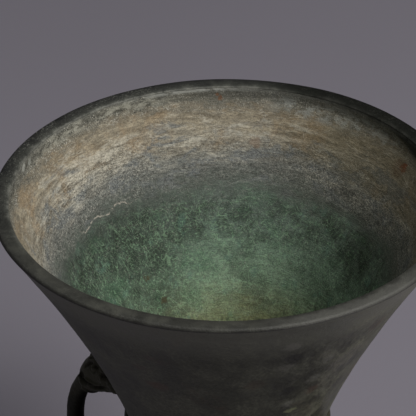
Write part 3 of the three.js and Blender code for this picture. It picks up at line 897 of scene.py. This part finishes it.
def castBeadTree():
    # a rounded bead along a curve, as thick as the curve's radius
    tree = bpy.data.node_groups.new("castBead", "GeometryNodeTree")
    nodes = NodeTools(tree)
    treeInput(tree, "Path", "NodeSocketGeometry")
    ids = {
        "Sides": treeInput(tree, "Sides", "NodeSocketInt", 12),
        "Spacing": treeInput(tree, "Spacing", "NodeSocketFloat", 0.4 * mm),
        "Finish": treeInput(tree, "Finish", "NodeSocketMaterial"),
    }
    tree.interface.new_socket("Bead", in_out="OUTPUT", socket_type="NodeSocketGeometry")
    given = nodes.add("NodeGroupInput")
    spaced = {"Curve": given["Path"], 3: given["Spacing"]}
    even = nodes.first("GeometryNodeResampleCurve", spaced, mode="LENGTH")
    ring = nodes.first("GeometryNodeCurvePrimitiveCircle", {"Resolution": given["Sides"], "Radius": 1.0})
    thick = nodes.first("GeometryNodeInputRadius")
    bead = nodes.first("GeometryNodeCurveToMesh", {
        "Curve": even, "Profile Curve": ring, "Scale": thick, "Fill Caps": True})
    bead = nodes.first("GeometryNodeSetMaterial", {"Geometry": bead, "Material": given["Finish"]})
    bead = nodes.first("GeometryNodeRealizeInstances", {0: bead})
    nodes.feed(tree.nodes.new("NodeGroupOutput").inputs[0], bead)
    return tree, ids


beadTree, beadIds = castBeadTree()


def bead(paths, sides=10, spacing=0.35):
    # every path is a run of (x, y, z, radius), in millimetres
    curve = bpy.data.curves.new("bead", "CURVE")
    curve.dimensions = "3D"
    for path in paths:
        spline = curve.splines.new("POLY")
        spline.points.add(len(path) - 1)
        for point, (x, y, z, radius) in zip(spline.points, path):
            point.co = (x * mm, y * mm, z * mm, 1)
            point.radius = radius * mm
    obj = addObject("bead", curve)
    modifier = obj.modifiers.new("bead", "NODES")
    modifier.node_group = beadTree
    modifier[beadIds["Sides"]] = sides
    modifier[beadIds["Spacing"]] = spacing * mm
    modifier[beadIds["Finish"]] = handlePatina
    return applied(obj, "bead")


def onSkin(marks, lift=0.0, steps=6):
    # marks are (along, angle, radius) on the head's skin
    return smoothPath([(*headSkin(at, angle, lift), radius) for at, angle, radius in marks], steps)


def skullMesh():
    rings, around = 44, 40
    points, faces = [], []
    for k in range(rings + 1):
        points += [headSkin(k / rings, 360 * i / around) * mm for i in range(around)]
    for k in range(rings):
        for i in range(around):
            j = (i + 1) % around
            faces.append((k * around + i, k * around + j, (k + 1) * around + j, (k + 1) * around + i))
    faces.append(tuple(range(around))[::-1])
    faces.append(tuple(rings * around + i for i in range(around)))
    return addMesh("skull", points, [], faces)


def ball(centre, radius, scale=(1, 1, 1)):
    work = bmesh.new()
    bmesh.ops.create_icosphere(work, subdivisions=3, radius=radius * mm)
    place = Matrix.Translation(Vector(centre) * mm) @ Matrix.Diagonal((*scale, 1))
    bmesh.ops.transform(work, matrix=place, verts=work.verts)
    mesh = bpy.data.meshes.new("ball")
    work.to_mesh(mesh)
    work.free()
    return addObject("ball", mesh)


def roundMark(at, angle, reach, turn, length, spin, side):
    # a place at a reach in millimetres from a mark
    # length is the head's in millimetres there, and spin how many degrees round it a millimetre is
    return at + reach * math.cos(turn) / length, side * (angle + reach * math.sin(turn) * spin)


def curl(at, angle, wide, thick, turns, start, side, lift=0.0):
    # a flat spiral on the skin of the head
    marks = []
    count = int(turns * 12)
    for i in range(count + 1):
        share = i / count
        turn = math.radians(start) + math.tau * turns * share
        place = roundMark(at, angle, wide * (1 - 0.78 * share), turn, 38, 5.6, side)
        marks.append((*place, thick * (1 - 0.35 * share)))
    return onSkin(marks, lift, 2)


def eyelid(side):
    s = headSizes
    turns = [math.tau * i / 20 for i in range(21)]
    marks = [roundMark(s["eyeAt"], s["eyeTurn"], s["lidReach"], turn, 36, 6.6, side) for turn in turns]
    return onSkin([(*mark, s["lid"]) for mark in marks], 0.35, 2)


# what is laid on each side of the head: lift, then (along, angle, radius) for each point
headRuns = [
    # the ridge over the eye, and a lock above it
    (0.1, [(0.41, 72, 0.5), (0.46, 60, 0.9), (0.54, 42, 1.1), (0.62, 33, 1.0), (0.71, 30, 0.5)]),
    (0, [(0.35, 60, 0.4), (0.42, 46, 0.7), (0.5, 32, 0.7), (0.6, 20, 0.5)]),
    # the upper lip, drawn back from the mouth, and the lower one under it
    (0.2, [(0.99, 34, 0.6), (0.93, 42, 0.8), (0.87, 58, 0.8), (0.79, 76, 0.8), (0.7, 92, 0.7),
           (0.6, 100, 0.6), (0.54, 98, 0.4)]),
    (0.1, [(0.86, 112, 0.4), (0.76, 116, 0.6), (0.64, 119, 0.6), (0.54, 118, 0.4)]),
    # locks of mane down the side of the neck end
    (0, [(0.32, 70, 0.5), (0.23, 78, 1.0), (0.13, 80, 0.9), (0.04, 74, 0.4)]),
    (0, [(0.31, 118, 0.5), (0.22, 124, 1.0), (0.13, 126, 0.9), (0.04, 122, 0.4)]),
    (0, [(0.35, 142, 0.5), (0.25, 148, 0.9), (0.14, 150, 0.8), (0.05, 148, 0.4)]),
    # a horn lying back over the brow
    (0, [(0.42, 24, 0.7), (0.33, 32, 1.0), (0.22, 40, 0.9), (0.12, 42, 0.5)]),
    # beard
    (0, [(0.80, 160, 0.4), (0.70, 162, 0.7), (0.60, 158, 0.7), (0.51, 152, 0.4)]),
]
# what is cut into each side: (along, angle, half width, depth) for each point
headGrooves = [
    # mouth
    [(0.95, 40, 1.6, 1.1), (0.92, 50, 2.2, 2.3), (0.89, 64, 2.6, 2.9), (0.85, 78, 2.4, 2.5),
     (0.79, 91, 1.6, 1.4), (0.7, 100, 0.8, 0.7)],
    # round the eye
    [(0.74, 41, 0.8, 0.5), (0.67, 41, 0.9, 0.8), (0.59, 43, 0.9, 0.8), (0.5, 54, 0.9, 0.7)],
    [(0.68, 22, 0.8, 0.6), (0.61, 28, 0.9, 0.7), (0.54, 35, 0.8, 0.6)],
    # under the lips
    [(0.82, 104, 0.8, 0.6), (0.72, 109, 0.8, 0.8), (0.6, 112, 0.8, 0.8), (0.5, 110, 0.7, 0.5)],
    [(0.8, 126, 0.8, 0.5), (0.68, 128, 0.8, 0.7), (0.56, 128, 0.8, 0.6)],
    # cheek
    [(0.46, 74, 1.2, 0.7), (0.4, 76, 1.4, 1.0), (0.35, 80, 1.0, 0.6)],
]


def headBeads(side):
    s = headSizes
    beads = []
    for lift, marks in headRuns:
        beads.append(onSkin([(at, side * angle, radius) for at, angle, radius in marks], lift))
    cheekCurl = curl(0.43, 90, s["curl"], s["curlBead"], 1.8, 200, side, 0.2)
    nostrilCurl = curl(0.89, 36, 1.2, 0.5, 1.2, 20, side)
    return beads[:2] + [eyelid(side), cheekCurl, nostrilCurl] + beads[2:]


def earBeads(side):
    s = headSizes
    root = headSkin(0.42, side * 96)
    tip = root + Vector((-s["earLength"], side * 1.5, s["earLength"] * 0.1))
    middle = root.lerp(tip, 0.5) + Vector((0, side * 1.4, 0))
    part = root.lerp(middle, 0.6)
    half = s["earWidth"] / 2
    up = Vector((0, 0, half * 0.5))
    beads = [smoothPath([(*root, 0.5), (*part, half * 0.55), (*middle, half * 0.6), (*tip, 0.4)], 5)]
    for rim in (up, -up):
        inner, outer = part + rim, middle + rim
        beads.append(smoothPath([(*root, 0.5), (*inner, 0.7), (*outer, 0.65), (*tip, 0.35)], 5))
    return beads


def clamped(value):
    return max(0, min(1, value))


def carve(obj):
    # sinks a groove along each run of marks on the head's skin, and notes the painted shade for the grooves
    # and for the bar's inner side that faces the belly
    marks = []
    for side in (1, -1):
        for run in headGrooves:
            path = [(*headSkin(at, side * angle), width, depth) for at, angle, width, depth in run]
            marks += smoothPath(path, 10)
    tree = kdtree.KDTree(len(marks))
    for i, (x, y, z, width, depth) in enumerate(marks):
        tree.insert(Vector((x, y, z)) * mm, i)
    tree.balance()
    carved, soiled = [], []
    for vertex in obj.data.vertices:
        near, index, away = tree.find(vertex.co)
        width, depth = marks[index][3] * mm, marks[index][4] * mm
        share = max(0, 1 - (away / (width * 1.5)) ** 2) ** 1.5
        carved.extend(vertex.co - vertex.normal * depth * share)
        outward = Vector((vertex.co.x, vertex.co.y, 0)).normalized()
        # painted shade on the bar's inner side, which faces the belly
        onBar = vertex.co.x > shadeSizes["barFrom"] * mm
        sheltered = clamped(-0.2 - 1.4 * vertex.normal.dot(outward)) if onBar else 0
        soiled.append(max(share * min(1, depth / (shadeSizes["depth"] * mm)), sheltered * 0.8))
    obj.data.vertices.foreach_set("co", carved)
    obj.data.attributes.new("soiled", "FLOAT", "POINT").data.foreach_set("value", soiled)
    obj.data.update()


def rubAndHighlightRaised(obj, skull):
    # the carving that stands off the head is made paler: worn, and partly a painted highlight on the raised
    # parts
    worn = []
    for vertex in obj.data.vertices:
        near, facing, index, away = skull.find_nearest(vertex.co)
        off = away / mm if (vertex.co - near).dot(facing) > 0 else 0
        worn.append(clamped((off - 0.2) / 0.8) * clamped((2.6 - off) / 0.8))
    obj.data.attributes.new("worn", "FLOAT", "POINT").data.foreach_set("value", worn)


def roughen(obj):
    # the cast skin's fine unevenness
    worked = []
    for vertex in obj.data.vertices:
        drift = noise.fractal(vertex.co * headSizes["grainScale"], 0.6, 2.0, 4) * headSizes["grain"] * mm
        worked.extend(vertex.co + vertex.normal * drift)
    obj.data.vertices.foreach_set("co", worked)


def keepInWall(obj):
    # the rear of the head and the root end inside the wall, not in the hollow
    kept = []
    for vertex in obj.data.vertices:
        x, y, z = vertex.co / mm
        if z > trumpetBase:
            surface = trumpetRadius(z)
        else:
            surface = size["neckRadius"] if z > collarBase else bellyOutline(z)
        radius = math.hypot(x, y)
        short = max(0, surface - size["wall"] * 0.5 - radius)
        outward = (radius + short * 0.96) / radius
        kept.extend((x * outward * mm, y * outward * mm, z * mm))
    obj.data.vertices.foreach_set("co", kept)


def loopPath(rootRadius, rootHeight):
    start = headPoint(0.84)
    end = Vector((rootRadius - size["wall"] * 0.5, 0, rootHeight))
    # the curve's two handles lie far enough out for its middle to come to the reach
    bow = (8 * loopSizes["reach"] - start.x - end.x) / 6
    drop = start.z - end.z
    first, second = Vector((bow, 0, start.z - drop * 0.16)), Vector((bow, 0, end.z + drop * 0.1))
    path = []
    for i in range(loopSizes["steps"] + 1):
        t = i / loopSizes["steps"]
        left = 1 - t
        point = start * left ** 3 + first * 3 * t * left ** 2 + second * 3 * t ** 2 * left + end * t ** 3
        swell = loopSizes["mouthSwell"] * max(0, 1 - t / 0.2) ** 2
        path.append((*point, loopSizes["radius"] + swell))
    return path


def joined(pieces, name):
    work = bmesh.new()
    for piece in pieces:
        work.from_mesh(piece.data)
        bpy.data.objects.remove(piece)
    mesh = bpy.data.meshes.new(name)
    work.to_mesh(mesh)
    work.free()
    return addObject(name, mesh)


def fused(obj, name):
    # one skin over all that is joined, with its steps softened
    remesh = obj.modifiers.new("fuse", "REMESH")
    remesh.mode = "VOXEL"
    remesh.voxel_size = headSizes["voxel"] * mm
    remesh.adaptivity = 0
    soften = obj.modifiers.new("soften", "SMOOTH")
    soften.factor = 0.5
    soften.iterations = headSizes["softening"]
    return applied(obj, name)


def makeHandle():
    s = headSizes
    rootHeight = bellyCentre - loopSizes["rootDrop"]
    rootRadius = bellyOutline(rootHeight)
    skull = skullMesh()
    skullTree = bvhtree.BVHTree.FromObject(skull, bpy.context.evaluated_depsgraph_get())
    pieces = [skull, bead([loopPath(rootRadius, rootHeight)], loopSizes["sides"], loopSizes["spacing"])]
    # the ridge down the brow, and the jaw
    paths = [onSkin([(0.34, 0, 0.6), (0.46, 0, 1.3), (0.58, 0, s["brow"]), (0.72, 0, 0.7)]),
             onSkin([(0.3, 180, 0.8), (0.5, 180, s["jaw"]), (0.7, 180, s["jaw"]), (0.93, 180, 1.0)], -1.4)]
    for side in (1, -1):
        paths += headBeads(side) + earBeads(side)
        for radius, lift in ((s["eye"], -0.6), (s["pupil"], s["eye"] - 0.7)):
            pieces.append(ball(headSkin(s["eyeAt"], side * s["eyeTurn"], lift), radius))
    # the roll of the lower lip round the bar
    paths.append([(*headSkin(0.985, angle), s["lipRoll"]) for angle in range(88, 280, 8)])
    # the lower root's boss on the belly
    pieces.append(ball((rootRadius - 0.4, 0, rootHeight + 0.5), loopSizes["rootRadius"], (0.5, 1, 1.2)))
    pieces.append(bead(paths))
    handle = fused(joined(pieces, "handleRight"), "handleRight")
    carve(handle)
    rubAndHighlightRaised(handle, skullTree)
    roughen(handle)
    keepInWall(handle)
    outwards(handle)
    handle.data.materials.clear()
    handle.data.materials.append(handlePatina)
    handle.data.shade_smooth()
    return handle


handleRight = makeHandle()
handleLeft = addObject("handleLeft", handleRight.data.copy())
handleLeft.data.transform(Matrix.Rotation(math.pi, 4, "Z"))
for handle in (handleRight, handleLeft):
    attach(handle, "root")
    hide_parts("vase")
print("handles cast:", len(handleRight.data.polygons), "faces each")

# floor, lights and backdrop light

studio = {
    "floor": screenColour(135, 131, 140), "floorDark": 0.97, "floorSide": 8.0,
    "sky": screenColour(150, 149, 152), "skyStrength": 0.25,
}
lights = [  # name, place, aim, side, watts, colour
    ("key", (1.35, -0.20, 1.8), (0, 0, 0.2), 0.9, 39.0, (1.0, 0.99, 0.97)),
    ("top", (-0.3, 0.3, 2.4), (0, 0, 0.15), 1.6, 7.0, (0.97, 0.99, 1.0)),
]


def makeFloor():
    half = studio["floorSide"] / 2
    corners = [(-half, -half, 0), (half, -half, 0), (half, half, 0), (-half, half, 0)]
    floor = addMesh("floor", corners, [], [(0, 1, 2, 3)])
    coat = Finish("paleFloor", False)
    cloud = coat.spread(coat.noise(coat.place, 3.0, 2.0, 0.5), 0.2, 0.8)
    darker = tuple(v * studio["floorDark"] for v in studio["floor"][:3]) + (1,)
    coat.shade = coat.blend(cloud, darker, studio["floor"])
    floor.data.materials.append(coat.finished({"Roughness": 0.9, "Specular IOR Level": 0.1}))


def makeLights():
    for name, place, aim, side, watts, tint in lights:
        data = bpy.data.lights.new(name, "AREA")
        data.shape = "SQUARE"
        data.size = side
        data.energy = watts
        data.color = tint
        lamp = addObject(name, data)
        lamp.location = place
        lamp.rotation_euler = (Vector(aim) - Vector(place)).to_track_quat("-Z", "Y").to_euler()
    world = bpy.data.worlds.new("studio")
    world.use_nodes = True
    background = world.node_tree.nodes["Background"]
    background.inputs[0].default_value = studio["sky"]
    background.inputs[1].default_value = studio["skyStrength"]
    bpy.context.scene.world = world
    bpy.context.scene.view_settings.view_transform = "Standard"


makeFloor()
makeLights()
print("studio lit")
